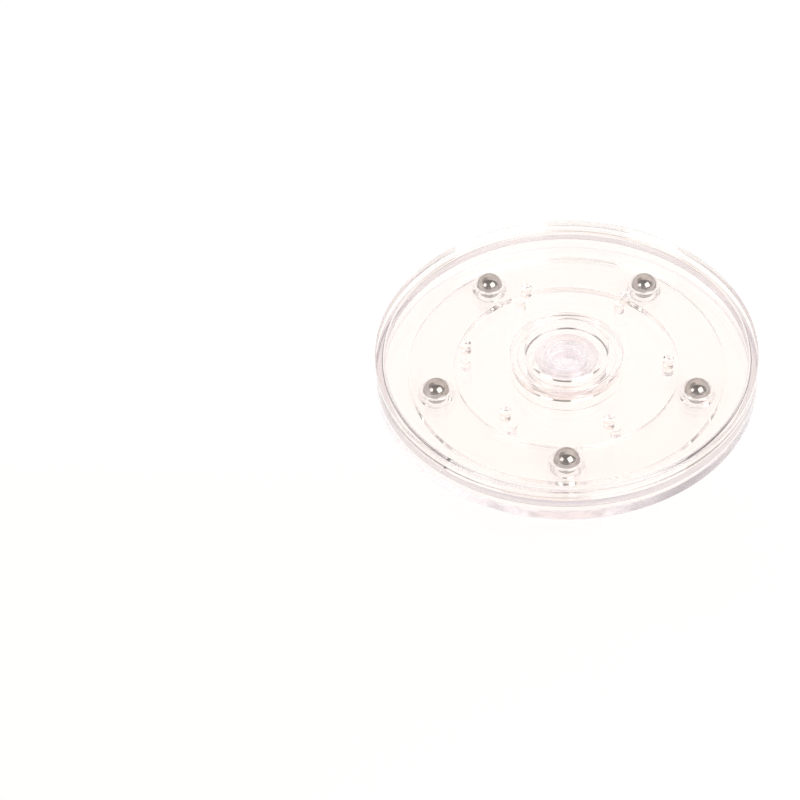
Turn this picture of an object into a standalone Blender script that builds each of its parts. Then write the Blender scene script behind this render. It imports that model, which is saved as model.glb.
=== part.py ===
"""Round clear plastic turntable: a base tray and a top disc that rolls on five caged steel balls.

Everything is in metres. The turntable stands on Z = 0 with its spin axis on Z.
"""

import math

import bmesh
import bpy

# Overall sizes
TURNTABLE_DIAMETER = 0.150
PLATE_THICKNESS = 0.003
RIM_WALL = 0.0031
TOP_RIM_HEIGHT = 0.006
RIM_GAP = 0.003

# Balls
BALL_DIAMETER = 0.010
BALL_COUNT = 5
FIRST_BALL_ANGLE = math.radians(270)

# Loose ball cage
CAGE_WIDTH = 0.0184
CAGE_THICKNESS = 0.0029
CAGE_TO_RIM_GAP = 0.0094
CUP_WALL = 0.0011
CUP_FLARE = 0.0009
CUP_ABOVE_BALL_CENTRE = 0.0012
POCKET_FLARE = 0.0022

# Pegs that keep the cage round the hub
PEG_DIAMETER = 0.0042
PEG_COUNT = 6
PEG_PLAY = 0.0021
PEG_TIP_GAP = 0.002
TOP_PEG_ANGLE = math.radians(54)
BASE_PEG_ANGLE = math.radians(58)

# Hub of the top disc
COLLAR_RADIUS = 0.0219
COLLAR_WALL = 0.0055
COLLAR_LIP = 0.0025
COLLAR_DROP = 0.0062
WELL_DEPTH = 0.0051
WEB_THICKNESS = 0.0028

# Hub of the base
PAD_MARGIN = 0.0003
PAD_HEIGHT = 0.0004
RING_TO_LIP_GAP = 0.003
RING_WALL = 0.003
SOCKET_WALL = 0.0025

# Plug that holds the two halves together
STEM_RADIUS = 0.0082
PLUG_WALL = 0.0016
FLANGE_TO_WELL_GAP = 0.0041
FLANGE_THICKNESS = 0.0016
PLUG_HOLLOW_DEPTH = 0.0039
PLUG_FLOOR = 0.0015

# Clearances
TOUCHING_GAP = 0.0003
BALL_PLAY = 0.00035
SPIN_CLEARANCE = 0.0005
TILT_CLEARANCE = 0.0004

# Broken edges
RIM_EASE = 0.0005
HUB_EASE = 0.0003
PEG_EASE = 0.0003

# Facets
SHELL_SEGMENTS = 60
HUB_SEGMENTS = 36
CUP_SEGMENTS = 24
PEG_SEGMENTS = 12
BALL_SEGMENTS = 16
BALL_RINGS = 10
MERGE_DISTANCE = 0.00001
SHARP_ANGLE = math.radians(30)

# Radii that follow from the sizes above
RIM_RADIUS = TURNTABLE_DIAMETER / 2
RIM_INNER_RADIUS = RIM_RADIUS - RIM_WALL
BALL_RADIUS = BALL_DIAMETER / 2
CAGE_OUTER_RADIUS = RIM_INNER_RADIUS - CAGE_TO_RIM_GAP
CAGE_INNER_RADIUS = CAGE_OUTER_RADIUS - CAGE_WIDTH
BALL_CIRCLE_RADIUS = (CAGE_OUTER_RADIUS + CAGE_INNER_RADIUS) / 2
PEG_CIRCLE_RADIUS = CAGE_INNER_RADIUS - PEG_PLAY - PEG_DIAMETER / 2
WELL_RADIUS = COLLAR_RADIUS - COLLAR_WALL
LIP_INNER_RADIUS = COLLAR_RADIUS - COLLAR_LIP
WEB_BORE_RADIUS = STEM_RADIUS + SPIN_CLEARANCE
PAD_RADIUS = COLLAR_RADIUS + PAD_MARGIN
RING_RADIUS = LIP_INNER_RADIUS - RING_TO_LIP_GAP
SOCKET_BORE_RADIUS = STEM_RADIUS + TOUCHING_GAP
SOCKET_RADIUS = SOCKET_BORE_RADIUS + SOCKET_WALL
FLANGE_RADIUS = WELL_RADIUS - FLANGE_TO_WELL_GAP
PLUG_HOLLOW_RADIUS = STEM_RADIUS - PLUG_WALL
POCKET_RADIUS = BALL_RADIUS + BALL_PLAY

# Heights that follow from the sizes above
BALL_CENTRE_Z = PLATE_THICKNESS + TOUCHING_GAP + BALL_RADIUS
TOP_UNDERSIDE_Z = BALL_CENTRE_Z + BALL_RADIUS + TOUCHING_GAP
TOP_FACE_Z = TOP_UNDERSIDE_Z + PLATE_THICKNESS
TOP_RIM_BOTTOM_Z = TOP_FACE_Z - TOP_RIM_HEIGHT
BASE_RIM_TOP_Z = TOP_RIM_BOTTOM_Z - RIM_GAP
PEG_LENGTH = (TOP_UNDERSIDE_Z - PLATE_THICKNESS - PEG_TIP_GAP) / 2
WEB_TOP_Z = TOP_FACE_Z - WELL_DEPTH
WEB_BOTTOM_Z = WEB_TOP_Z - WEB_THICKNESS
COLLAR_BOTTOM_Z = TOP_UNDERSIDE_Z - COLLAR_DROP
PAD_TOP_Z = PLATE_THICKNESS + PAD_HEIGHT
BASE_HUB_TOP_Z = WEB_BOTTOM_Z - TILT_CLEARANCE
FLANGE_BOTTOM_Z = WEB_TOP_Z + TOUCHING_GAP
PLUG_TOP_Z = FLANGE_BOTTOM_Z + FLANGE_THICKNESS
PLUG_BOTTOM_Z = PAD_TOP_Z + TOUCHING_GAP
PLUG_FLOOR_TOP_Z = PLUG_TOP_Z - PLUG_HOLLOW_DEPTH
PLUG_FLOOR_BOTTOM_Z = PLUG_FLOOR_TOP_Z - PLUG_FLOOR
CAGE_BOTTOM_Z = PLATE_THICKNESS + TOUCHING_GAP
CAGE_TOP_Z = CAGE_BOTTOM_Z + CAGE_THICKNESS
CUP_TOP_Z = BALL_CENTRE_Z + CUP_ABOVE_BALL_CENTRE

# Colour, roughness, metallic and transmission of each finish
FINISHES = {
    "clear_plastic": ((0.97, 0.94, 0.93), 0.04, 0.0, 0.9),
    "clear_cage_plastic": ((0.96, 0.93, 0.92), 0.08, 0.0, 0.85),
    "frosted_plastic": ((0.90, 0.84, 0.88), 0.25, 0.0, 0.7),
    "polished_steel": ((0.55, 0.52, 0.50), 0.08, 1.0, 0.0),
}


def clear_scene():
    """Remove every object that the scene starts with."""
    for thing in list(bpy.data.objects):
        bpy.data.objects.remove(thing, do_unlink=True)


def finish(name):
    """Return the named material, made on first use."""
    material = bpy.data.materials.get(name)
    if material is None:
        colour, roughness, metallic, transmission = FINISHES[name]
        material = bpy.data.materials.new(name)
        material.use_nodes = True
        shader = material.node_tree.nodes["Principled BSDF"]
        shader.inputs["Base Color"].default_value = (*colour, 1.0)
        shader.inputs["Roughness"].default_value = roughness
        shader.inputs["Metallic"].default_value = metallic
        shader.inputs["Transmission Weight"].default_value = transmission
    return material


def add_piece(name, mesh, finish_name, location=(0, 0, 0)):
    """Link a new object that holds the mesh."""
    piece = bpy.data.objects.new(name, mesh)
    if not mesh.materials:
        mesh.materials.append(finish(finish_name))
    piece.location = location
    bpy.context.collection.objects.link(piece)
    return piece


def add_tool(name, mesh, location, turn=0):
    """Link an object that only adds to or cuts another one."""
    tool = bpy.data.objects.new(name, mesh)
    tool.location = location
    tool.rotation_euler.z = turn
    tool.hide_render = True
    tool.display_type = "WIRE"
    bpy.context.collection.objects.link(tool)
    return tool


def combine(piece, tool, operation):
    """Add an exact Boolean of the tool to the piece's modifiers."""
    modifier = piece.modifiers.new(tool.name, "BOOLEAN")
    modifier.operation = operation
    modifier.solver = "EXACT"
    modifier.object = tool


def eased(outline):
    """Cut each corner of an outline of (radius, height, ease) points by its ease."""
    corners = []
    for index, (radius, height, ease) in enumerate(outline):
        if ease == 0:
            corners.append((radius, height))
            continue
        for other in (outline[index - 1], outline[(index + 1) % len(outline)]):
            side = math.dist((radius, height), other[:2])
            share = ease / side
            corners.append((radius + (other[0] - radius) * share, height + (other[1] - height) * share))
    return corners


def turned_mesh(name, outline, segments, closed):
    """Spin an outline of (radius, height, ease) points about Z.

    A closed outline makes a ring. An open one starts and ends on the axis and makes a solid.
    """
    bm = bmesh.new()
    chain = [bm.verts.new((radius, 0, height)) for radius, height in eased(outline)]
    edges = [bm.edges.new(pair) for pair in zip(chain, chain[1:])]
    if closed:
        edges.append(bm.edges.new((chain[-1], chain[0])))
    bmesh.ops.spin(bm, geom=chain + edges, axis=(0, 0, 1), cent=(0, 0, 0), angle=math.tau, steps=segments)
    bmesh.ops.remove_doubles(bm, verts=bm.verts, dist=MERGE_DISTANCE)
    bmesh.ops.recalc_face_normals(bm, faces=bm.faces)
    mesh = bpy.data.meshes.new(name)
    bm.to_mesh(mesh)
    bm.free()
    mesh.shade_smooth()
    mesh.set_sharp_from_angle(angle=SHARP_ANGLE)
    return mesh


def on_circle(radius, angle, height):
    """Return the point at an angle on a circle round the spin axis."""
    return (radius * math.cos(angle), radius * math.sin(angle), height)


def add_pegs(shell, first_angle, root_z, tip_z):
    """Grow the ring of pegs out of a shell's plate."""
    radius = PEG_DIAMETER / 2
    outline = [(0, root_z, 0), (radius, root_z, 0), (radius, tip_z, PEG_EASE), (0, tip_z, 0)]
    mesh = turned_mesh(f"{shell.name}_peg", outline, PEG_SEGMENTS, closed=False)
    for index in range(PEG_COUNT):
        angle = first_angle + math.tau * index / PEG_COUNT
        peg = add_tool(f"{shell.name}_peg_{index + 1}", mesh, on_circle(PEG_CIRCLE_RADIUS, angle, 0))
        combine(shell, peg, "UNION")


def make_base_shell():
    """Make the tray that stands on the table, with its rim, hub rings and upright pegs."""
    outline = [
        (0, 0, 0),
        (RIM_RADIUS, 0, RIM_EASE),
        (RIM_RADIUS, BASE_RIM_TOP_Z, RIM_EASE),
        (RIM_INNER_RADIUS, BASE_RIM_TOP_Z, RIM_EASE),
        (RIM_INNER_RADIUS, PLATE_THICKNESS, RIM_EASE),
        (PAD_RADIUS, PLATE_THICKNESS, 0),
        (PAD_RADIUS, PAD_TOP_Z, 0),
        (RING_RADIUS, PAD_TOP_Z, 0),
        (RING_RADIUS, BASE_HUB_TOP_Z, HUB_EASE),
        (RING_RADIUS - RING_WALL, BASE_HUB_TOP_Z, HUB_EASE),
        (RING_RADIUS - RING_WALL, PAD_TOP_Z, 0),
        (SOCKET_RADIUS, PAD_TOP_Z, 0),
        (SOCKET_RADIUS, BASE_HUB_TOP_Z, HUB_EASE),
        (SOCKET_BORE_RADIUS, BASE_HUB_TOP_Z, HUB_EASE),
        (SOCKET_BORE_RADIUS, PAD_TOP_Z, 0),
        (0, PAD_TOP_Z, 0),
    ]
    shell = add_piece("base_shell", turned_mesh("base_shell", outline, SHELL_SEGMENTS, closed=False), "clear_plastic")
    add_pegs(shell, BASE_PEG_ANGLE, PLATE_THICKNESS / 2, PLATE_THICKNESS + PEG_LENGTH)


def make_top_shell():
    """Make the disc that carries the model, with its rim, hub collar and hanging pegs."""
    outline = [
        (WEB_BORE_RADIUS, WEB_TOP_Z, HUB_EASE),
        (WEB_BORE_RADIUS, WEB_BOTTOM_Z, HUB_EASE),
        (LIP_INNER_RADIUS, WEB_BOTTOM_Z, 0),
        (LIP_INNER_RADIUS, COLLAR_BOTTOM_Z, HUB_EASE),
        (COLLAR_RADIUS, COLLAR_BOTTOM_Z, HUB_EASE),
        (COLLAR_RADIUS, TOP_UNDERSIDE_Z, 0),
        (RIM_INNER_RADIUS, TOP_UNDERSIDE_Z, RIM_EASE),
        (RIM_INNER_RADIUS, TOP_RIM_BOTTOM_Z, RIM_EASE),
        (RIM_RADIUS, TOP_RIM_BOTTOM_Z, RIM_EASE),
        (RIM_RADIUS, TOP_FACE_Z, RIM_EASE),
        (WELL_RADIUS, TOP_FACE_Z, HUB_EASE),
        (WELL_RADIUS, WEB_TOP_Z, 0),
    ]
    shell = add_piece("top_shell", turned_mesh("top_shell", outline, SHELL_SEGMENTS, closed=True), "clear_plastic")
    add_pegs(shell, TOP_PEG_ANGLE, TOP_FACE_Z - PLATE_THICKNESS / 2, TOP_UNDERSIDE_Z - PEG_LENGTH)


def make_hub_plug():
    """Make the flanged plug that is pressed into the base and keeps the top disc on."""
    outline = [
        (0, PLUG_FLOOR_TOP_Z, 0),
        (PLUG_HOLLOW_RADIUS, PLUG_FLOOR_TOP_Z, 0),
        (PLUG_HOLLOW_RADIUS, PLUG_TOP_Z, HUB_EASE),
        (FLANGE_RADIUS, PLUG_TOP_Z, HUB_EASE),
        (FLANGE_RADIUS, FLANGE_BOTTOM_Z, HUB_EASE),
        (STEM_RADIUS, FLANGE_BOTTOM_Z, 0),
        (STEM_RADIUS, PLUG_BOTTOM_Z, HUB_EASE),
        (PLUG_HOLLOW_RADIUS, PLUG_BOTTOM_Z, 0),
        (PLUG_HOLLOW_RADIUS, PLUG_FLOOR_BOTTOM_Z, 0),
        (0, PLUG_FLOOR_BOTTOM_Z, 0),
    ]
    add_piece("hub_plug", turned_mesh("hub_plug", outline, HUB_SEGMENTS, closed=False), "frosted_plastic")


def ball_places():
    """Return the centre of each ball."""
    angles = [FIRST_BALL_ANGLE + math.tau * index / BALL_COUNT for index in range(BALL_COUNT)]
    return [on_circle(BALL_CIRCLE_RADIUS, angle, BALL_CENTRE_Z) for angle in angles]


def make_ball_cage():
    """Make the loose ring with a cup round each ball."""
    outline = [
        (CAGE_INNER_RADIUS, CAGE_BOTTOM_Z, HUB_EASE),
        (CAGE_OUTER_RADIUS, CAGE_BOTTOM_Z, HUB_EASE),
        (CAGE_OUTER_RADIUS, CAGE_TOP_Z, HUB_EASE),
        (CAGE_INNER_RADIUS, CAGE_TOP_Z, HUB_EASE),
    ]
    cage = add_piece("ball_cage", turned_mesh("ball_cage", outline, SHELL_SEGMENTS, closed=True), "clear_cage_plastic")
    cup_top = CUP_TOP_Z - BALL_CENTRE_Z
    cup_foot = CAGE_TOP_Z - BALL_CENTRE_Z
    cup_root = cup_foot - CAGE_THICKNESS / 2
    cup_radius = POCKET_RADIUS + CUP_WALL
    cup_slope = CUP_FLARE / (cup_top - cup_foot)
    cup_outline = [
        (0, cup_root, 0),
        (cup_radius + cup_slope * (cup_top - cup_root), cup_root, 0),
        (cup_radius, cup_top, HUB_EASE),
        (0, cup_top, 0),
    ]
    past_faces = BALL_RADIUS
    pocket_throat = cup_foot - CAGE_THICKNESS / 4
    pocket_slope = POCKET_FLARE / (pocket_throat - (CAGE_BOTTOM_Z - BALL_CENTRE_Z))
    pocket_outline = [
        (0, -past_faces, 0),
        (POCKET_RADIUS + pocket_slope * (pocket_throat + past_faces), -past_faces, 0),
        (POCKET_RADIUS, pocket_throat, 0),
        (POCKET_RADIUS, past_faces, 0),
        (0, past_faces, 0),
    ]
    cup = turned_mesh("cup", cup_outline, CUP_SEGMENTS, closed=False)
    pocket = turned_mesh("pocket", pocket_outline, CUP_SEGMENTS, closed=False)
    half_facet = math.pi / CUP_SEGMENTS
    for operation, name, mesh, turn in (("UNION", "cup", cup, 0), ("DIFFERENCE", "pocket", pocket, half_facet)):
        for index, place in enumerate(ball_places()):
            combine(cage, add_tool(f"{name}_{index + 1}", mesh, place, turn), operation)
    return cage


def make_balls(cage):
    """Make the steel balls, which travel with the cage."""
    bm = bmesh.new()
    bmesh.ops.create_uvsphere(bm, u_segments=BALL_SEGMENTS, v_segments=BALL_RINGS, radius=BALL_RADIUS)
    mesh = bpy.data.meshes.new("ball")
    bm.to_mesh(mesh)
    bm.free()
    mesh.shade_smooth()
    for index, place in enumerate(ball_places()):
        ball = add_piece(f"ball_{index + 1}", mesh, "polished_steel", place)
        ball.parent = cage


def main():
    """Build the whole turntable."""
    clear_scene()
    make_base_shell()
    make_top_shell()
    make_hub_plug()
    make_balls(make_ball_cage())


main()
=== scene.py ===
"""Looks of a round clear plastic turntable, laid out as a Blender add-on.

Every piece is a surface worked out with numpy: an outline with rounded corners is turned about an
axis on a grid of turn and outline point. Pegs and cups are joined to the turned shells by Booleans.
Lengths are in metres and Z = 0 is the surface that the turntable stands on.
"""

import math

import bpy
import numpy as np
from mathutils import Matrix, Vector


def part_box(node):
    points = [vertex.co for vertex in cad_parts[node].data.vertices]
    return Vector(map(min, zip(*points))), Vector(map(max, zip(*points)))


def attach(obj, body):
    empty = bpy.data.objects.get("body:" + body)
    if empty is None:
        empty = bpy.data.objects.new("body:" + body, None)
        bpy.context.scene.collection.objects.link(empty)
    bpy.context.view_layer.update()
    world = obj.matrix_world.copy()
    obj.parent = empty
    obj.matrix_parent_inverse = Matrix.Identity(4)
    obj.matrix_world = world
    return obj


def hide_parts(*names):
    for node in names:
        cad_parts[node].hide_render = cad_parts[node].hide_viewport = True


bl_info = {
    "name": "Clear Turntable",
    "version": (1, 0, 0),
    "blender": (4, 5, 0),
    "location": "3D View > Sidebar > Turntable",
    "description": "Builds the shells, cage, balls and plug of a clear ball-bearing turntable",
    "category": "Add Mesh",
}

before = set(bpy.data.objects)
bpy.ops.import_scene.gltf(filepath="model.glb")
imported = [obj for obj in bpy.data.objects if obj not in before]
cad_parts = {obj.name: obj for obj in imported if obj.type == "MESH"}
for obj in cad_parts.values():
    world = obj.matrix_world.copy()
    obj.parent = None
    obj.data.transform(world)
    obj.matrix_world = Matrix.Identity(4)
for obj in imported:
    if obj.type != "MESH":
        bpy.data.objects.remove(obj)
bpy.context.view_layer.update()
BALLS = sorted(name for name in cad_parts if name.startswith("ball_") and name != "ball_cage")


def node_radius(node):
    """Return the radius of a round node that is centred on the spin axis."""
    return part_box(node)[1].x


def node_centre(node):
    """Return the middle of a node's box as an array."""
    low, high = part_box(node)
    return np.array((low + high) / 2)


RIM_RADIUS = node_radius("base_shell")
TOP_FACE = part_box("top_shell")[1].z
COLLAR_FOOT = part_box("top_shell")[0].z
BASE_HUB_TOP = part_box("base_shell")[1].z
BALL_RADIUS = (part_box(BALLS[0])[1].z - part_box(BALLS[0])[0].z) / 2


# ---------------------------------------------------------------- settings


def length(name, description, default):
    """Return a length property in metres."""
    return bpy.props.FloatProperty(
        name=name, description=description, default=default, unit="LENGTH", precision=5
    )


def number(name, description, default):
    """Return a plain number property."""
    return bpy.props.FloatProperty(name=name, description=description, default=default, precision=4)


def angle(name, description, degrees):
    """Return an angle property, given its default in degrees."""
    return bpy.props.FloatProperty(
        name=name, description=description, default=math.radians(degrees), subtype="ANGLE"
    )


def colour(name, description, default):
    """Return a linear colour property."""
    return bpy.props.FloatVectorProperty(
        name=name, description=description, default=default, size=3, min=0, soft_max=1, subtype="COLOR"
    )


class ShellSettings(bpy.types.PropertyGroup):
    """Sizes of the two shells."""

    plate: length("Plate", "Thickness of both flat plates", 0.003)
    rim_wall: length("Rim wall", "Thickness of both rims", 0.0031)
    base_rim_top: length("Base rim top", "Height of the base rim's top edge", 0.0076)
    top_rim_foot: length("Top rim foot", "Height of the top rim's lower edge", 0.0106)
    edge_round: length("Edge rounding", "Radius of the rims' edges", 0.0003)
    foot_round: length("Foot rounding", "Radius of the base's lower outer edge", 0.0007)
    corner_round: length("Inside corner", "Radius between a plate and its rim", 0.0008)
    peg_radius: length("Peg radius", "Radius of the moulded pegs", 0.0021)
    peg_circle: length("Peg circle", "Radius of the circle that the pegs stand on", 0.0399)
    peg_length: length("Peg length", "Length of a peg below or above its plate", 0.0043)
    top_peg_turn: angle("Top peg turn", "Angle of the first hanging peg", 54)
    base_peg_turn: angle("Base peg turn", "Angle of the first upright peg", 58)
    collar_radius: length("Collar", "Outer radius of the hub collar", 0.0219)
    collar_lip: length("Collar lip", "Wall of the collar below the web", 0.0025)
    well_radius: length("Well", "Radius of the well in the top face", 0.0164)
    web_top: length("Web top", "Height of the well's floor", 0.0115)
    web_foot: length("Web underside", "Height of the web's underside", 0.0087)
    web_bore: length("Web bore", "Radius of the bore for the plug", 0.0087)
    pad_radius: length("Pad radius", "Radius of the raised pad under the hub", 0.0222)
    pad_top: length("Pad top", "Height of the raised pad", 0.0034)
    thrust_radius: length("Thrust ring", "Outer radius of the base's outer hub ring", 0.0164)
    thrust_wall: length("Thrust ring wall", "Wall of the base's outer hub ring", 0.003)
    socket_bore: length("Socket bore", "Radius of the socket that holds the plug", 0.0085)
    socket_wall: length("Socket wall", "Wall of the socket", 0.0025)
    hub_round: length("Hub rounding", "Radius of the hub's edges", 0.0003)
    top_gate_turn: angle("Top gate turn", "Angle of the gate stub under the top rim", 231.7)
    base_gate_turn: angle("Base gate turn", "Angle of the gate stub on the base rim", 230.2)


class PlugSettings(bpy.types.PropertyGroup):
    """Sizes of the hub plug."""

    stem_radius: length("Stem", "Radius of the stem", 0.0082)
    hollow_radius: length("Hollow", "Radius of both hollows", 0.0066)
    flange_thickness: length("Flange", "Thickness of the flange", 0.0016)
    flange_edge: length("Flange edge", "Thickness of the flange at its edge", 0.0007)
    flange_crown: length("Flange crown", "Radius where the flange's top starts to fall away", 0.0098)
    hollow_depth: length("Hollow depth", "Depth of the upper hollow", 0.0039)
    floor: length("Floor", "Thickness of the floor between the hollows", 0.0015)
    groove_radius: length("Groove", "Radius of the fine groove in the upper hollow's floor", 0.0028)
    groove_depth: length("Groove depth", "Depth of the fine groove", 0.0002)


class CageSettings(bpy.types.PropertyGroup):
    """Sizes of the ball cage."""

    inner_radius: length("Inner radius", "Inner radius of the ring", 0.0441)
    thickness: length("Thickness", "Thickness of the ring", 0.0029)
    edge_round: length("Edge rounding", "Radius of the ring's edges", 0.0004)
    pocket_play: length("Pocket play", "Gap between a ball and its pocket", 0.00035)
    cup_wall: length("Cup wall", "Wall of a cup at its top", 0.0011)
    cup_flare: length("Cup flare", "How much a cup widens down to the ring", 0.0009)
    pocket_flare: length("Pocket flare", "How much a pocket widens down to the underside", 0.0004)


class FinishSettings(bpy.types.PropertyGroup):
    """Colours and optical values of the finishes."""

    shell_tint: colour("Shell tint", "Colour that a shell's surface lets through", (0.998, 0.960, 0.942))
    cage_tint: colour("Cage tint", "Colour that the cage's surface lets through", (0.998, 0.994, 0.992))
    plug_tint: colour("Plug tint", "Colour that the plug's surface lets through", (0.965, 0.94, 0.965))
    plastic_ior: number("Plastic IOR", "Index of refraction of the plastic", 1.49)
    steel: colour("Steel", "Reflection colour of the balls", (0.56, 0.53, 0.51))


class StageSettings(bpy.types.PropertyGroup):
    """Camera, floor and light."""

    camera_height_angle: angle("Camera elevation", "Angle of the camera above the floor", 44.6)
    camera_distance: length("Camera distance", "Distance from the top face to the camera", 1.0)
    lens: number("Lens", "Focal length in millimetres on a 36 mm sensor", 115.07)
    shift_right: number("Shift X", "Sideways lens shift that frames the turntable", -0.2084)
    shift_up: number("Shift Y", "Upward lens shift that frames the turntable", -0.0648)
    floor_size: length("Floor size", "Width of the square floor", 6.0)
    floor_colour: colour("Floor", "Colour of the floor", (1.0, 0.99, 0.975))
    floor_reflects: number("Floor reflects", "Share of the room's light that the floor returns", 0.2)
    floor_glow: number("Floor glow", "Strength of the floor's own light", 0.85)
    horizon: colour("Horizon", "Colour of the room near the horizon", (1.0, 0.97, 1.0))
    wall: colour("Wall", "Colour of the room above the horizon", (1.06, 1.02, 0.985))
    dark_front: colour("Dark front", "Colour of the room's dark front half", (0.13, 0.12, 0.115))


SETTINGS = {
    "turntable_shells": ShellSettings,
    "turntable_plug": PlugSettings,
    "turntable_cage": CageSettings,
    "turntable_finishes": FinishSettings,
    "turntable_stage": StageSettings,
}

# Linear colours: the plastic's depth, its edges with painted dark shade lines and specks, and its dust,
# the steel at a glancing angle, and the floor's glow, painted brighter behind the hub than in front.
LILAC = (0.85, 0.66, 0.925)
LILAC_DENSITY = 1.0
# Painted shade: near-black colour of the dark lines on the rim's and the well's inner edges.
PAINTED_SHADE_LINE = (0.07, 0.065, 0.075)
# Grey colour of the base rim's top edge.
GREY_RIM_TOP = (0.64, 0.57, 0.58)
FOOT_EDGE = (0.84, 0.80, 0.88)
# Painted shade: the near-black speck on each clear gate stub.
PAINTED_GATE_SPECK = (0.01, 0.01, 0.01)
DUST = (0.55, 0.50, 0.48)
STEEL_GLANCE = (0.6, 0.58, 0.56)
# Painted light: the floor's glow in front of the hub and behind it.
FRONT_GLOW = (1.0, 0.985, 0.975)
BACK_GLOW = (1.04, 1.07, 1.08)

# Steps round a shell, round a peg, cup or ball, and along a rounded corner.
TURN_STEPS = 256
SMALL_TURN_STEPS = 64
ARC_STEPS = 6

PEG_COUNT = 6
FLOOR_HEIGHT = -0.0002
GLOW_REACH = 0.11  # how far in front of the hub and behind it the floor's glow changes
GATE_REACH = 0.0006  # how far a gate stub stands out
SHARP_EDGE = math.radians(40)
HOLD = 0.00012  # how far inside a straight run its extra point lies
SAME_POINT = 1e-8  # outline points closer than this are one point
BOUNCES = 96  # light bounces: light takes long ways round inside a clear rim

# Each window: name, direction from the hub, distance, width and radiance.
WINDOWS = (
    ("window_right", (0.512, -0.525, 0.679), 0.8, 0.62, 2.5),
    ("window_left", (-0.674, -0.450, 0.586), 0.8, 0.37, 2.4),
)


# ---------------------------------------------------------------- surfaces


def rounded(corners, closed):
    """Return an outline of (radius, height) points with each corner of (radius, height, rounding) rounded.

    A corner's arc touches both of its sides. Its centre lies on the line that halves the corner, and
    each point of it is the mix of the arc's two end radii whose weights are sines of the arc left.
    """
    corners = np.array(corners, dtype=float)
    here = corners[:, :2]
    back = np.roll(here, 1, axis=0) - here
    ahead = np.roll(here, -1, axis=0) - here
    back /= np.linalg.norm(back, axis=1, keepdims=True)
    ahead /= np.linalg.norm(ahead, axis=1, keepdims=True)
    rounding = corners[:, 2:3].copy()
    if not closed:
        rounding[[0, -1]] = 0
    half = np.arccos(np.clip((back * ahead).sum(axis=1, keepdims=True), -1, 1)) / 2
    bisector = (back + ahead) / np.linalg.norm(back + ahead, axis=1, keepdims=True)
    centre = here + bisector * rounding / np.sin(half)
    start = here + back * rounding / np.tan(half) - centre
    end = here + ahead * rounding / np.tan(half) - centre
    sweep = (math.pi - 2 * half)[:, None]
    share = np.linspace(0, 1, ARC_STEPS + 1)[None, :, None]
    from_start = np.sin((1 - share) * sweep) * start[:, None]
    from_end = np.sin(share * sweep) * end[:, None]
    points = (centre[:, None] + (from_start + from_end) / np.sin(sweep)).reshape(-1, 2)
    distinct = np.linalg.norm(points - np.roll(points, 1, axis=0), axis=1) > SAME_POINT
    return points[distinct]


def held(points, closed):
    """Add a point just inside each end of every straight run, so that smooth shading stays in the arcs."""
    ends = np.roll(points, -1, axis=0)
    runs = np.linalg.norm(ends - points, axis=1)
    share = np.stack([np.zeros_like(runs), HOLD / runs, 1 - HOLD / runs], axis=1)
    filled = points[:, None] + (ends - points)[:, None] * share[:, :, None]
    keep = np.ones(filled.shape[:2], dtype=bool)
    keep[:, 1:] = (runs > 4 * HOLD)[:, None]
    if not closed:
        keep[-1, 1:] = False
    return filled[keep]


def turned(corners, steps, closed=True, centre=(0, 0, 0), phase=0.0):
    """Turn a rounded outline about a vertical axis through centre, as (vertices, face arrays).

    A point is (radius cos turn, radius sin turn, height) for each outline point and each turn. An
    outline that isn't closed starts and ends on the axis, and its two poles are single points.
    """
    outline = held(rounded(corners, closed), closed)
    radius, height = outline.T
    if np.sum(radius * np.roll(height, -1) - np.roll(radius, -1) * height) > 0:
        radius, height = radius[::-1], height[::-1]
    poles = 0 if closed else 1
    ring_radius = radius[poles : len(radius) - poles]
    ring_height = height[poles : len(height) - poles]
    turn = phase + np.arange(steps) * math.tau / steps
    rings = np.stack(
        [
            ring_radius[:, None] * np.cos(turn),
            ring_radius[:, None] * np.sin(turn),
            np.broadcast_to(ring_height[:, None], (len(ring_radius), steps)),
        ],
        axis=2,
    )
    vertices = rings.reshape(-1, 3)
    index = np.arange(len(vertices)).reshape(len(ring_radius), steps)
    beside = np.roll(index, -1, axis=1)
    if closed:
        below, below_beside = np.roll(index, -1, axis=0), np.roll(beside, -1, axis=0)
        faces = [np.stack([index, below, below_beside, beside], axis=2).reshape(-1, 4)]
    else:
        first, last = len(vertices), len(vertices) + 1
        vertices = np.vstack([vertices, [(0, 0, height[0]), (0, 0, height[-1])]])
        quads = np.stack([index[:-1], index[1:], beside[1:], beside[:-1]], axis=2).reshape(-1, 4)
        top_fan = np.stack([np.full(steps, first), index[0], beside[0]], axis=1)
        foot_fan = np.stack([np.full(steps, last), beside[-1], index[-1]], axis=1)
        faces = [quads, top_fan, foot_fan]
    return vertices + np.array(centre), faces


def copies(surface, places):
    """Repeat a surface at each place, as one set of vertices and face arrays."""
    vertices, faces = surface
    moved = np.concatenate([vertices + np.array(place) for place in places])
    starts = [copy * len(vertices) for copy in range(len(places))]
    return moved, [part + start for start in starts for part in faces]


def ring_of(radius, first_turn, amount, height=0.0):
    """Return points spaced evenly on a circle about the spin axis."""
    turn = first_turn + np.arange(amount) * math.tau / amount
    return np.stack([radius * np.cos(turn), radius * np.sin(turn), np.full(amount, height)], axis=1)


def mesh_object(name, surface):
    """Make a smooth-shaded object from vertices and face arrays."""
    vertices, faces = surface
    mesh = bpy.data.meshes.new(name)
    mesh.from_pydata(vertices.tolist(), [], [face for part in faces for face in part.tolist()])
    mesh.shade_smooth()
    piece = bpy.data.objects.new(name, mesh)
    bpy.context.scene.collection.objects.link(piece)
    return piece


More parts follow.
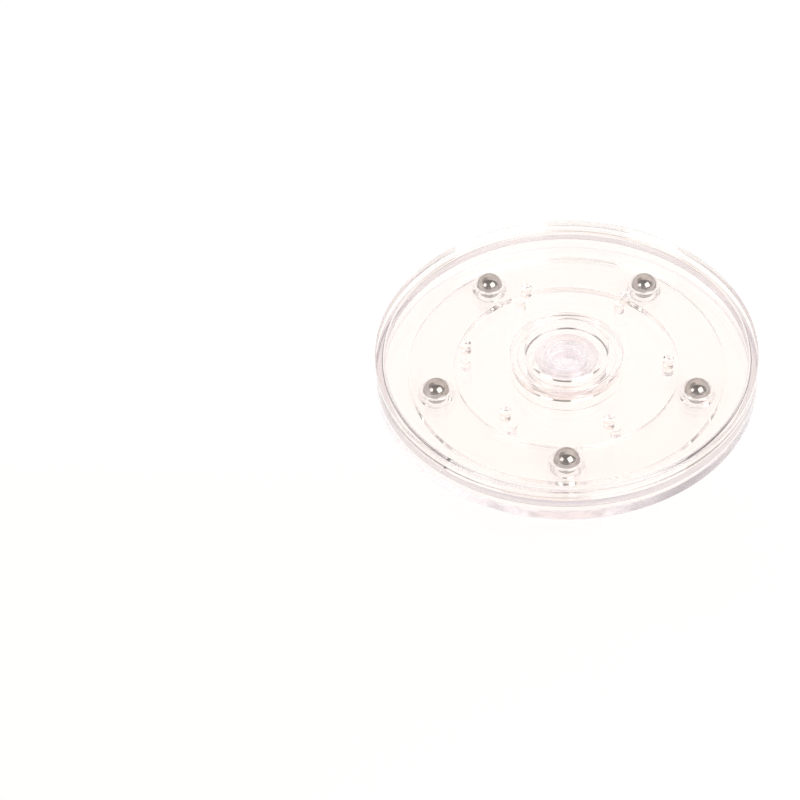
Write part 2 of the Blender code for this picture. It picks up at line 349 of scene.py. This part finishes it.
def join_or_cut(piece, surface, operation):
    """Join a surface to a piece, or cut it out, and keep the result as the piece's mesh."""
    tool = mesh_object(f"{piece.name}_tool", surface)
    modifier = piece.modifiers.new(operation.title(), "BOOLEAN")
    modifier.operation = operation
    modifier.solver = "EXACT"
    modifier.object = tool
    evaluated = piece.evaluated_get(bpy.context.evaluated_depsgraph_get())
    mesh = bpy.data.meshes.new_from_object(evaluated)
    piece.modifiers.clear()
    piece.data = mesh
    bpy.data.objects.remove(tool)


def finished(piece, body, nodes, slot, material):
    """Give a piece its shading, finish and body, and hide the CAD nodes that it stands for."""
    mesh = piece.data
    mesh.shade_smooth()
    mesh.set_sharp_from_angle(angle=SHARP_EDGE)
    mesh.materials.clear()
    mesh.materials.append(material)
    # Only the balls cast a shadow: the soft light passes straight through clear plastic.
    piece.visible_shadow = slot == "ball_steel"
    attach(piece, body)
    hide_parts(*nodes)
    return piece


# ---------------------------------------------------------------- finishes


class Wire:
    """A shader socket that takes part in Python arithmetic by adding Math nodes."""

    def __init__(self, maker, socket):
        self.maker = maker
        self.socket = socket

    def math(self, operation, *values):
        return self.maker.add("ShaderNodeMath", {"operation": operation}, dict(enumerate(values)))

    def __add__(self, other):
        return self.math("ADD", self, other)

    def __sub__(self, other):
        return self.math("SUBTRACT", self, other)

    def __rsub__(self, other):
        return self.math("SUBTRACT", other, self)

    def __mul__(self, other):
        return self.math("MULTIPLY", self, other)

    __radd__ = __add__
    __rmul__ = __mul__

    def magnitude(self):
        """Return the value without its sign."""
        return self.math("ABSOLUTE", self)

    def largest(self, other):
        """Return the larger of two values."""
        return self.math("MAXIMUM", self, other)

    def ramp(self, start, end, low=0.0, high=1.0):
        """Return low at start and high at end, smoothly between them, and level outside."""
        values = {"Value": self, "From Min": start, "From Max": end, "To Min": low, "To Max": high}
        settings = {"interpolation_type": "SMOOTHSTEP", "clamp": True}
        return self.maker.add("ShaderNodeMapRange", settings, values)


class NodeMaker:
    """Adds nodes to one material's or world's node tree."""

    def __init__(self, tree):
        self.tree = tree
        self.tree.nodes.clear()

    def add(self, kind, settings=None, values=None, output=0):
        """Add a node, set it up, fill its sockets and return one output as a Wire."""
        node = self.tree.nodes.new(kind)
        for key, value in (settings or {}).items():
            setattr(node, key, value)
        for key, value in (values or {}).items():
            if isinstance(value, Wire):
                self.tree.links.new(value.socket, node.inputs[key])
            else:
                node.inputs[key].default_value = value
        return Wire(self, node.outputs[output] if node.outputs else None)

    def along(self, vector, way):
        """Return how far a vector reaches along a way."""
        return self.add("ShaderNodeVectorMath", {"operation": "DOT_PRODUCT"}, {0: vector, 1: way}, "Value")

    def apart(self, vector, place):
        """Return how far a vector is from a place."""
        return self.add("ShaderNodeVectorMath", {"operation": "DISTANCE"}, {0: vector, 1: place}, "Value")

    def flat(self, vector):
        """Return a vector without its height."""
        return self.add("ShaderNodeVectorMath", {"operation": "MULTIPLY"}, {0: vector, 1: (1, 1, 0)})

    def object_point(self):
        """Return the piece's own coordinates in metres."""
        return self.add("ShaderNodeTexCoord", output="Object")

    def noise(self, point, scale, detail=3.0):
        """Return noise from 0 to 1 with that many features to a metre."""
        values = {"Vector": point, "Scale": scale, "Detail": detail, "Roughness": 0.5}
        return self.add("ShaderNodeTexNoise", {}, values, "Fac")

    def blend(self, factor, first, second):
        """Mix two colours."""
        values = {"Factor": factor, 6: first, 7: second}
        return self.add("ShaderNodeMix", {"data_type": "RGBA"}, values, 2)

    def bump(self, height, strength, distance):
        """Turn a height into a bumped normal."""
        return self.add("ShaderNodeBump", {}, {"Height": height, "Strength": strength, "Distance": distance})


def opaque(tint, share=1.0):
    """Return a tint scaled by a share, with full alpha."""
    return (tint[0] * share, tint[1] * share, tint[2] * share, 1.0)


def specks(make, point, scale, size):
    """Return 1 in sparse round specks and 0 between them."""
    settings = {"feature": "F1", "distance": "EUCLIDEAN"}
    near = make.add("ShaderNodeTexVoronoi", settings, {"Vector": point, "Scale": scale}, "Distance")
    chosen = make.noise(point, scale * 0.31, detail=0.0)
    return near.ramp(size, size * 0.6) * chosen.ramp(0.62, 0.66)


def scratches(make, point, scale, turn):
    """Return 1 along fine hairlines that run one way."""
    values = {"Vector": point, "Rotation": (0, 0, turn), "Scale": (1.0, 0.03, 1.0)}
    lines = make.add("ShaderNodeMapping", {}, values)
    return make.noise(lines, scale, detail=1.0).ramp(0.705, 0.74)


def clear_plastic(name, tint, ior, gloss, haze, marks=None):
    """Make a clear moulded plastic with faint flow ripples, hairlines and specks of dust.

    Long paths through the plastic turn lilac. marks may change the colour and roughness at
    worn or moulded places, and paint dark shade on edges.
    """
    material = bpy.data.materials.new(name)
    material.use_nodes = True
    make = NodeMaker(material.node_tree)
    point = make.object_point()
    flow = make.noise(point, 24.0, detail=2.0)
    hairlines = scratches(make, point, 900.0, 0.5) + scratches(make, point, 700.0, 2.1)
    dust = specks(make, point, 420.0, 0.05)
    base = make.blend(flow.ramp(0.3, 0.7), opaque(tint), opaque(tint, 0.994))
    base = make.blend(dust * 0.35, base, opaque(DUST))
    roughness = make.noise(point, 180.0).ramp(0.3, 0.75, gloss, haze) + hairlines * 0.05 + dust * 0.2
    if marks:
        base, roughness = marks(make, point, base, roughness)
    ripple = make.noise(point, 55.0, detail=1.0)
    normal = make.bump(ripple + hairlines * 0.08, 0.08, 0.00003)
    values = {
        "Base Color": base,
        "Roughness": roughness,
        "Normal": normal,
        "IOR": ior,
        "Transmission Weight": 1.0,
    }
    shader = make.add("ShaderNodeBsdfPrincipled", {}, values)
    lilac = make.add("ShaderNodeVolumeAbsorption", {}, {"Color": opaque(LILAC), "Density": LILAC_DENSITY})
    make.add("ShaderNodeOutputMaterial", {}, {"Surface": shader, "Volume": lilac})
    return material


def shell_marks(make, point, base, roughness):
    """Frost the rims, grey the base rim's top edge, tint the foot, and paint shade on edges and gate stubs.

    The painted shade is dark lines on the rim's and the well's inner edges and a near-black speck on each
    gate stub. An edge is where the distances to its radius and to its height add up to less than its
    width. The rim's inner edge fades out towards the front, and the well's edge comes and goes along the
    back.
    """
    s = bpy.context.scene.turntable_shells
    radius = make.add("ShaderNodeVectorMath", {"operation": "LENGTH"}, {0: make.flat(point)}, "Value")
    height = make.along(point, (0, 0, 1))
    back = make.along(point, (0, 1, 0))
    aside = make.along(point, (1, 0, 0)).magnitude()
    rim_inner = RIM_RADIUS - s.rim_wall

    def edge(at_radius, at_height, width):
        away = (radius - at_radius).magnitude() + (height - at_height).magnitude()
        return away.ramp(width, width * 0.7)

    # Painted shade: a dark line along the top rim's inner lower edge, fading out towards the front.
    painted_rim_shade = edge(rim_inner, s.top_rim_foot, 0.0005) * aside.ramp(0.012, 0.04, 0.1, 1.0)
    # Painted shade: dark arcs along the well's floor edge, coming and going along the back.
    well_arcs = back.ramp(0, 0.001) * (aside - 0.007).magnitude().ramp(0.002, 0.005, 0.2, 1.0)
    painted_well_shade = edge(s.well_radius, s.web_top, 0.0006) * well_arcs * 0.85
    rim_top = (height - s.base_rim_top).magnitude().ramp(0.0002, 0.0001)
    # The base rim's top edge is coloured grey and made rougher.
    rim_top_band = rim_top * radius.ramp(rim_inner - 0.0002, rim_inner + 0.0002)
    foot_edge = height.ramp(0.0008, 0.0006) * radius.ramp(RIM_RADIUS - 0.0008, RIM_RADIUS - 0.0006)
    base_gate, top_gate = (make.apart(point, tuple(place)) for place in gate_places(s))
    # Painted shade: a near-black speck on each gate stub; the stubs are also made rougher.
    gate_scar_and_painted_speck = base_gate.ramp(0.0007, 0.0005).largest(top_gate.ramp(0.0010, 0.0008))
    # Paint the dark shade lines on the rim's and the well's inner edges.
    base = make.blend(painted_rim_shade.largest(painted_well_shade), base, opaque(PAINTED_SHADE_LINE))
    base = make.blend(rim_top_band, base, opaque(GREY_RIM_TOP))
    base = make.blend(foot_edge, base, opaque(FOOT_EDGE))
    base = make.blend(gate_scar_and_painted_speck, base, opaque(PAINTED_GATE_SPECK))
    top_edge = edge(RIM_RADIUS, TOP_FACE, 0.0006)
    wall = radius.ramp(RIM_RADIUS - 0.0004, RIM_RADIUS - 0.0001)
    foot_wall = wall * height.ramp(0.0056, 0.0048)
    wear = rim_top_band * 0.1 + wall * 0.06 + foot_wall * 0.1 + top_edge * 0.2 + gate_scar_and_painted_speck * 0.4
    return base, roughness + wear


def polished_steel(name, tint):
    """Make a polished bearing steel with faint smears and rolling hairlines."""
    material = bpy.data.materials.new(name)
    material.use_nodes = True
    make = NodeMaker(material.node_tree)
    point = make.object_point()
    smear = make.noise(point, 260.0)
    hairlines = scratches(make, point, 2600.0, 0.9)
    base = make.blend(smear.ramp(0.35, 0.7), opaque(tint), opaque(tint, 0.86))
    roughness = smear.ramp(0.3, 0.8, 0.05, 0.12) + hairlines * 0.08
    normal = make.bump(make.noise(point, 900.0) + hairlines * 0.5, 0.12, 0.00001)
    values = {
        "Base Color": base,
        "Roughness": roughness,
        "Normal": normal,
        "Metallic": 1.0,
        "Specular Tint": opaque(STEEL_GLANCE),
    }
    shader = make.add("ShaderNodeBsdfPrincipled", {}, values)
    make.add("ShaderNodeOutputMaterial", {}, {"Surface": shader})
    return material


def pale_floor(name, tint, share, glow):
    """Make a pale floor whose painted glow is brighter behind the hub than in front, under the soft light.
    """
    material = bpy.data.materials.new(name)
    material.use_nodes = True
    make = NodeMaker(material.node_tree)
    point = make.object_point()
    mottle = make.noise(point, 3.0)
    paper = make.blend(mottle, opaque(tint), opaque(tint, 0.995))
    # Painted light: the floor's glow is brighter behind the hub than in front.
    behind = make.along(point, (0, 1, 0)).ramp(-GLOW_REACH, GLOW_REACH)
    lit = make.blend(behind, opaque(FRONT_GLOW), opaque(BACK_GLOW))
    values = {
        "Base Color": make.blend(share, opaque((0, 0, 0)), paper),
        "Roughness": 0.9,
        "Specular IOR Level": 0.0,
        "Emission Color": lit,
        "Emission Strength": glow,
    }
    shader = make.add("ShaderNodeBsdfPrincipled", {}, values)
    make.add("ShaderNodeOutputMaterial", {}, {"Surface": shader})
    return material


# ---------------------------------------------------------------- pieces


def peg_outline(radius, root, tip):
    """Return a peg's outline from inside its plate to its rounded tip."""
    return [(0, root, 0), (radius, root, 0), (radius, tip, 0.0004), (0, tip, 0)]


def base_shell_outline(s):
    """Return the base shell's outline, from the middle of its underside round to its socket's floor."""
    thrust_inner = s.thrust_radius - s.thrust_wall
    socket_outer = s.socket_bore + s.socket_wall
    rim_inner = RIM_RADIUS - s.rim_wall
    return [
        (0, 0, 0),
        (RIM_RADIUS, 0, s.foot_round),
        (RIM_RADIUS, s.base_rim_top, s.edge_round),
        (rim_inner, s.base_rim_top, s.edge_round),
        (rim_inner, s.plate, s.corner_round),
        (s.pad_radius, s.plate, 0.0001),
        (s.pad_radius, s.pad_top, 0.0002),
        (s.thrust_radius, s.pad_top, 0.0003),
        (s.thrust_radius, BASE_HUB_TOP, s.hub_round),
        (thrust_inner, BASE_HUB_TOP, s.hub_round),
        (thrust_inner, s.pad_top, 0.0003),
        (socket_outer, s.pad_top, 0.0003),
        (socket_outer, BASE_HUB_TOP, s.hub_round),
        (s.socket_bore, BASE_HUB_TOP, s.hub_round),
        (s.socket_bore, s.pad_top, 0.0001),
        (0, s.pad_top, 0),
    ]


def top_shell_outline(s):
    """Return the top shell's closed outline, from the web's bore round by the rim to the well."""
    underside = TOP_FACE - s.plate
    rim_inner = RIM_RADIUS - s.rim_wall
    lip_inner = s.collar_radius - s.collar_lip
    return [
        (s.web_bore, s.web_top, s.hub_round),
        (s.web_bore, s.web_foot, s.hub_round),
        (lip_inner, s.web_foot, 0.0003),
        (lip_inner, COLLAR_FOOT, s.hub_round),
        (s.collar_radius, COLLAR_FOOT, s.hub_round),
        (s.collar_radius, underside, 0.0005),
        (rim_inner, underside, s.corner_round),
        (rim_inner, s.top_rim_foot, s.edge_round),
        (RIM_RADIUS, s.top_rim_foot, s.edge_round),
        (RIM_RADIUS, TOP_FACE, s.edge_round),
        (s.well_radius, TOP_FACE, 0.0004),
        (s.well_radius, s.web_top, 0.0005),
    ]


def plug_outline(s):
    """Return the hub plug's outline, from its upper hollow's floor round to its lower one."""
    low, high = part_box("hub_plug")
    flange_foot = high.z - s.flange_thickness
    floor_top = high.z - s.hollow_depth
    return [
        (0, floor_top, 0),
        (s.groove_radius - 2 * s.groove_depth, floor_top, 0.0001),
        (s.groove_radius - s.groove_depth, floor_top - s.groove_depth, 0.0001),
        (s.groove_radius + s.groove_depth, floor_top - s.groove_depth, 0.0001),
        (s.groove_radius + 2 * s.groove_depth, floor_top, 0.0001),
        (s.hollow_radius, floor_top, 0.0004),
        (s.hollow_radius, high.z, 0.0003),
        (s.flange_crown, high.z, 0.0008),
        (high.x, flange_foot + s.flange_edge, 0.0005),
        (high.x, flange_foot, 0.0001),
        (s.stem_radius, flange_foot, 0.0002),
        (s.stem_radius, low.z, 0.0003),
        (s.hollow_radius, low.z, 0.0002),
        (s.hollow_radius, floor_top - s.floor, 0.0004),
        (0, floor_top - s.floor, 0),
    ]


def cage_outline(s):
    """Return the cage ring's closed outline."""
    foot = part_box("ball_cage")[0].z
    outer = node_radius("ball_cage")
    return [
        (s.inner_radius, foot, s.edge_round),
        (outer, foot, s.edge_round),
        (outer, foot + s.thickness, s.edge_round),
        (s.inner_radius, foot + s.thickness, s.edge_round),
    ]


def cup_outline(s):
    """Return the outline of a solid cup whose wall curves out into the ring."""
    low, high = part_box("ball_cage")
    ring_top = low.z + s.thickness
    wall = BALL_RADIUS + s.pocket_play + s.cup_wall
    return [
        (0, ring_top - s.thickness / 2, 0),
        (wall + s.cup_flare + 0.0005, ring_top - s.thickness / 2, 0),
        (wall + s.cup_flare + 0.0003, ring_top - 0.0001, 0.0001),
        (wall + s.cup_flare * 0.4, ring_top + 0.0003, 0.0008),
        (wall, high.z, s.cup_wall / 2),
        (0, high.z, 0),
    ]


def pocket_outline(s):
    """Return the outline of the cutter that opens a cup for its ball."""
    low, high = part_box("ball_cage")
    throat = low.z + s.thickness * 0.75
    radius = BALL_RADIUS + s.pocket_play
    slope = s.pocket_flare / (throat - low.z)
    past = 0.001
    return [
        (0, low.z - past, 0),
        (radius + slope * (throat - low.z + past), low.z - past, 0),
        (radius, throat, 0.0005),
        (radius, high.z - 0.0002, 0),
        (radius + past, high.z - 0.0002 + past, 0),
        (0, high.z - 0.0002 + past, 0),
    ]


def gate_places(s):
    """Return where the gate stubs stand: on the base rim's top edge, and under the top rim's foot."""
    base_gate = ring_of(RIM_RADIUS - 0.0009, s.base_gate_turn, 1, s.base_rim_top)[0]
    top_gate = ring_of(RIM_RADIUS - s.rim_wall + 0.0007, s.top_gate_turn, 1, s.top_rim_foot)[0]
    return base_gate, top_gate


def gate_stub(place, way):
    """Return a broken-off gate stub, a small round nib that stands up (way 1) or hangs down (way -1)."""
    reach = GATE_REACH * way
    outline = [(0, -reach, 0), (0.0007, -reach, 0), (0.0006, reach, 0.0002), (0, reach, 0)]
    return turned(outline, SMALL_TURN_STEPS // 4, closed=False, centre=place)


def ball_surface(centre):
    """Return a sphere: (cos tilt cos turn, cos tilt sin turn, sin tilt) times the radius."""
    tilt = np.linspace(math.pi / 2, -math.pi / 2, SMALL_TURN_STEPS // 2 + 1)
    turn = np.arange(SMALL_TURN_STEPS) * math.tau / SMALL_TURN_STEPS
    middle = tilt[1:-1, None]
    rings = np.stack(
        [
            np.cos(middle) * np.cos(turn),
            np.cos(middle) * np.sin(turn),
            np.broadcast_to(np.sin(middle), (len(middle), len(turn))),
        ],
        axis=2,
    )
    vertices = np.vstack([rings.reshape(-1, 3), [(0, 0, 1), (0, 0, -1)]])
    index = np.arange(len(middle) * len(turn)).reshape(len(middle), len(turn))
    beside = np.roll(index, -1, axis=1)
    quads = np.stack([index[:-1], index[1:], beside[1:], beside[:-1]], axis=2).reshape(-1, 4)
    north, south = len(vertices) - 2, len(vertices) - 1
    top_fan = np.stack([np.full(len(turn), north), index[0], beside[0]], axis=1)
    foot_fan = np.stack([np.full(len(turn), south), beside[-1], index[-1]], axis=1)
    return vertices * BALL_RADIUS + centre, [quads, top_fan, foot_fan]


# ---------------------------------------------------------------- operators


class TURNTABLE_OT_stage(bpy.types.Operator):
    """Lay the pale floor and set the room, the soft lights and the camera"""

    bl_idname = "turntable.stage"
    bl_label = "Stage"

    def execute(self, context):
        s = context.scene.turntable_stage
        half = s.floor_size / 2
        corners = np.array([(-half, -half), (half, -half), (half, half), (-half, half)])
        corners = np.column_stack([corners, np.full(len(corners), FLOOR_HEIGHT)])
        floor = mesh_object("floor", (corners, [np.array([[0, 1, 2, 3]])]))
        floor.data.materials.append(pale_floor("pale_floor", s.floor_colour, s.floor_reflects, s.floor_glow))
        self.set_room(context, s)
        for window in WINDOWS:
            self.add_window(context, *window)
        self.add_camera(context, s)
        context.scene.view_settings.view_transform = "Standard"
        cycles = context.scene.cycles
        cycles.max_bounces = BOUNCES
        cycles.transmission_bounces = BOUNCES
        cycles.glossy_bounces = BOUNCES
        return {"FINISHED"}

    def set_room(self, context, s):
        """Light the room: pale horizon, warm walls, and a dark front half that reaches up the left corner.

        A ramp's numbers are the parts of a direction, of length 1, between which its share changes.
        """
        world = bpy.data.worlds.new("room")
        world.use_nodes = True
        context.scene.world = world
        make = NodeMaker(world.node_tree)
        direction = make.add("ShaderNodeTexCoord", output="Generated")
        height = make.along(direction, (0, 0, 1))
        right = make.along(direction, (1, 0, 0))
        back = make.along(direction, (0, 1, 0))
        dark = back.ramp(0.25, 0.08) * right.ramp(-0.93, -0.75) * height.ramp(0.02, 0.1)
        left_corner = right.ramp(-0.2, -0.35) * back.ramp(0.75, 0.55) * height.ramp(0.35, 0.5)
        dark = dark.largest(left_corner * 0.75)
        room = make.blend(height.ramp(0.03, 0.2), opaque(s.horizon), opaque(s.wall))
        room = make.blend(dark, room, opaque(s.dark_front))
        light = make.add("ShaderNodeBackground", {}, {"Color": room, "Strength": 1.0})
        make.add("ShaderNodeOutputWorld", {}, {"Surface": light})

    def add_window(self, context, name, direction, distance, width, radiance):
        """Hang a square soft light that faces the hub."""
        lamp = bpy.data.lights.new(name, "AREA")
        lamp.shape = "SQUARE"
        lamp.size = width
        lamp.energy = radiance * width * width * math.pi
        light = bpy.data.objects.new(name, lamp)
        context.scene.collection.objects.link(light)
        aim = np.array(direction) / np.linalg.norm(direction)
        light.location = aim * distance
        light.rotation_mode = "QUATERNION"
        light.rotation_quaternion = light.location.to_track_quat("Z", "Y")

    def add_camera(self, context, s):
        """Point the camera at the middle of the top face."""
        lens = bpy.data.cameras.new("camera")
        lens.lens = s.lens
        lens.shift_x = s.shift_right
        lens.shift_y = s.shift_up
        camera = bpy.data.objects.new("camera", lens)
        context.scene.collection.objects.link(camera)
        up, back = math.sin(s.camera_height_angle), math.cos(s.camera_height_angle)
        camera.location = (0, -s.camera_distance * back, TOP_FACE + s.camera_distance * up)
        camera.rotation_euler = (math.pi / 2 - s.camera_height_angle, 0, 0)
        context.scene.camera = camera


class TURNTABLE_OT_base_shell(bpy.types.Operator):
    """Turn the base shell and join its upright pegs and gate stub"""

    bl_idname = "turntable.base_shell"
    bl_label = "Base shell"

    def execute(self, context):
        s = context.scene.turntable_shells
        piece = mesh_object("base_shell_clear", turned(base_shell_outline(s), TURN_STEPS, closed=False))
        tip = s.plate + s.peg_length
        peg = turned(peg_outline(s.peg_radius, s.plate / 2, tip), SMALL_TURN_STEPS, closed=False)
        join_or_cut(piece, copies(peg, ring_of(s.peg_circle, s.base_peg_turn, PEG_COUNT)), "UNION")
        join_or_cut(piece, gate_stub(gate_places(s)[0], 1), "UNION")
        finished(piece, "base", ["base_shell"], "clear_plastic", bpy.data.materials["clear_shell_plastic"])
        return {"FINISHED"}


class TURNTABLE_OT_top_shell(bpy.types.Operator):
    """Turn the top shell and join its hanging pegs and gate stub"""

    bl_idname = "turntable.top_shell"
    bl_label = "Top shell"

    def execute(self, context):
        s = context.scene.turntable_shells
        piece = mesh_object("top_shell_clear", turned(top_shell_outline(s), TURN_STEPS))
        tip = TOP_FACE - s.plate - s.peg_length
        peg = turned(peg_outline(s.peg_radius, TOP_FACE - s.plate / 2, tip), SMALL_TURN_STEPS, closed=False)
        join_or_cut(piece, copies(peg, ring_of(s.peg_circle, s.top_peg_turn, PEG_COUNT)), "UNION")
        join_or_cut(piece, gate_stub(gate_places(s)[1], -1), "UNION")
        finished(piece, "top", ["top_shell"], "clear_plastic", bpy.data.materials["clear_shell_plastic"])
        return {"FINISHED"}


class TURNTABLE_OT_hub_plug(bpy.types.Operator):
    """Turn the flanged hub plug"""

    bl_idname = "turntable.hub_plug"
    bl_label = "Hub plug"

    def execute(self, context):
        s = context.scene.turntable_plug
        piece = mesh_object("hub_plug_frosted", turned(plug_outline(s), TURN_STEPS // 2, closed=False))
        finished(piece, "base", ["hub_plug"], "hub_plastic", bpy.data.materials["frosted_hub_plastic"])
        return {"FINISHED"}


class TURNTABLE_OT_ball_cage(bpy.types.Operator):
    """Turn the cage ring, join its cups and open their pockets"""

    bl_idname = "turntable.ball_cage"
    bl_label = "Ball cage"

    def execute(self, context):
        s = context.scene.turntable_cage
        piece = mesh_object("ball_cage_clear", turned(cage_outline(s), TURN_STEPS))
        places = [(*node_centre(ball)[:2], 0) for ball in BALLS]
        half_step = math.pi / SMALL_TURN_STEPS
        cup = turned(cup_outline(s), SMALL_TURN_STEPS, closed=False, phase=half_step / 2)
        pocket = turned(pocket_outline(s), SMALL_TURN_STEPS, closed=False, phase=half_step)
        join_or_cut(piece, copies(cup, places), "UNION")
        join_or_cut(piece, copies(pocket, places), "DIFFERENCE")
        finished(piece, "cage", ["ball_cage"], "cage_plastic", bpy.data.materials["clear_cage_plastic"])
        return {"FINISHED"}


class TURNTABLE_OT_balls(bpy.types.Operator):
    """Make the five steel balls"""

    bl_idname = "turntable.balls"
    bl_label = "Balls"

    def execute(self, context):
        for ball in BALLS:
            piece = mesh_object(f"{ball}_steel", ball_surface(node_centre(ball)))
            finished(piece, ball, [ball], "ball_steel", bpy.data.materials["polished_ball_steel"])
        return {"FINISHED"}


class TURNTABLE_OT_finishes(bpy.types.Operator):
    """Make the plastic and steel finishes that the pieces use"""

    bl_idname = "turntable.finishes"
    bl_label = "Finishes"

    def execute(self, context):
        s = context.scene.turntable_finishes
        clear_plastic("clear_shell_plastic", s.shell_tint, s.plastic_ior, 0.0, 0.02, shell_marks)
        clear_plastic("clear_cage_plastic", s.cage_tint, s.plastic_ior, 0.01, 0.04)
        clear_plastic("frosted_hub_plastic", s.plug_tint, s.plastic_ior, 0.08, 0.18)
        polished_steel("polished_ball_steel", s.steel)
        return {"FINISHED"}


OPERATORS = (
    TURNTABLE_OT_finishes,
    TURNTABLE_OT_stage,
    TURNTABLE_OT_base_shell,
    TURNTABLE_OT_ball_cage,
    TURNTABLE_OT_balls,
    TURNTABLE_OT_hub_plug,
    TURNTABLE_OT_top_shell,
)


class TURNTABLE_PT_panel(bpy.types.Panel):
    """List the turntable's pieces in the sidebar"""

    bl_idname = "TURNTABLE_PT_panel"
    bl_label = "Clear Turntable"
    bl_space_type = "VIEW_3D"
    bl_region_type = "UI"
    bl_category = "Turntable"

    def draw(self, context):
        for operator in OPERATORS:
            self.layout.operator(operator.bl_idname)


def register():
    """Register the classes and hang the settings on the scene."""
    for group in SETTINGS.values():
        bpy.utils.register_class(group)
    for name, group in SETTINGS.items():
        setattr(bpy.types.Scene, name, bpy.props.PointerProperty(type=group))
    for thing in (*OPERATORS, TURNTABLE_PT_panel):
        bpy.utils.register_class(thing)


def unregister():
    """Take away what register added."""
    for thing in (TURNTABLE_PT_panel, *reversed(OPERATORS)):
        bpy.utils.unregister_class(thing)
    for name in SETTINGS:
        delattr(bpy.types.Scene, name)
    for group in SETTINGS.values():
        bpy.utils.unregister_class(group)


def main():
    """Build every piece."""
    register()
    bpy.ops.turntable.finishes()
    bpy.ops.turntable.stage()
    bpy.ops.turntable.base_shell()
    bpy.ops.turntable.ball_cage()
    bpy.ops.turntable.balls()
    bpy.ops.turntable.hub_plug()
    bpy.ops.turntable.top_shell()


if __name__ == "__main__":
    main()
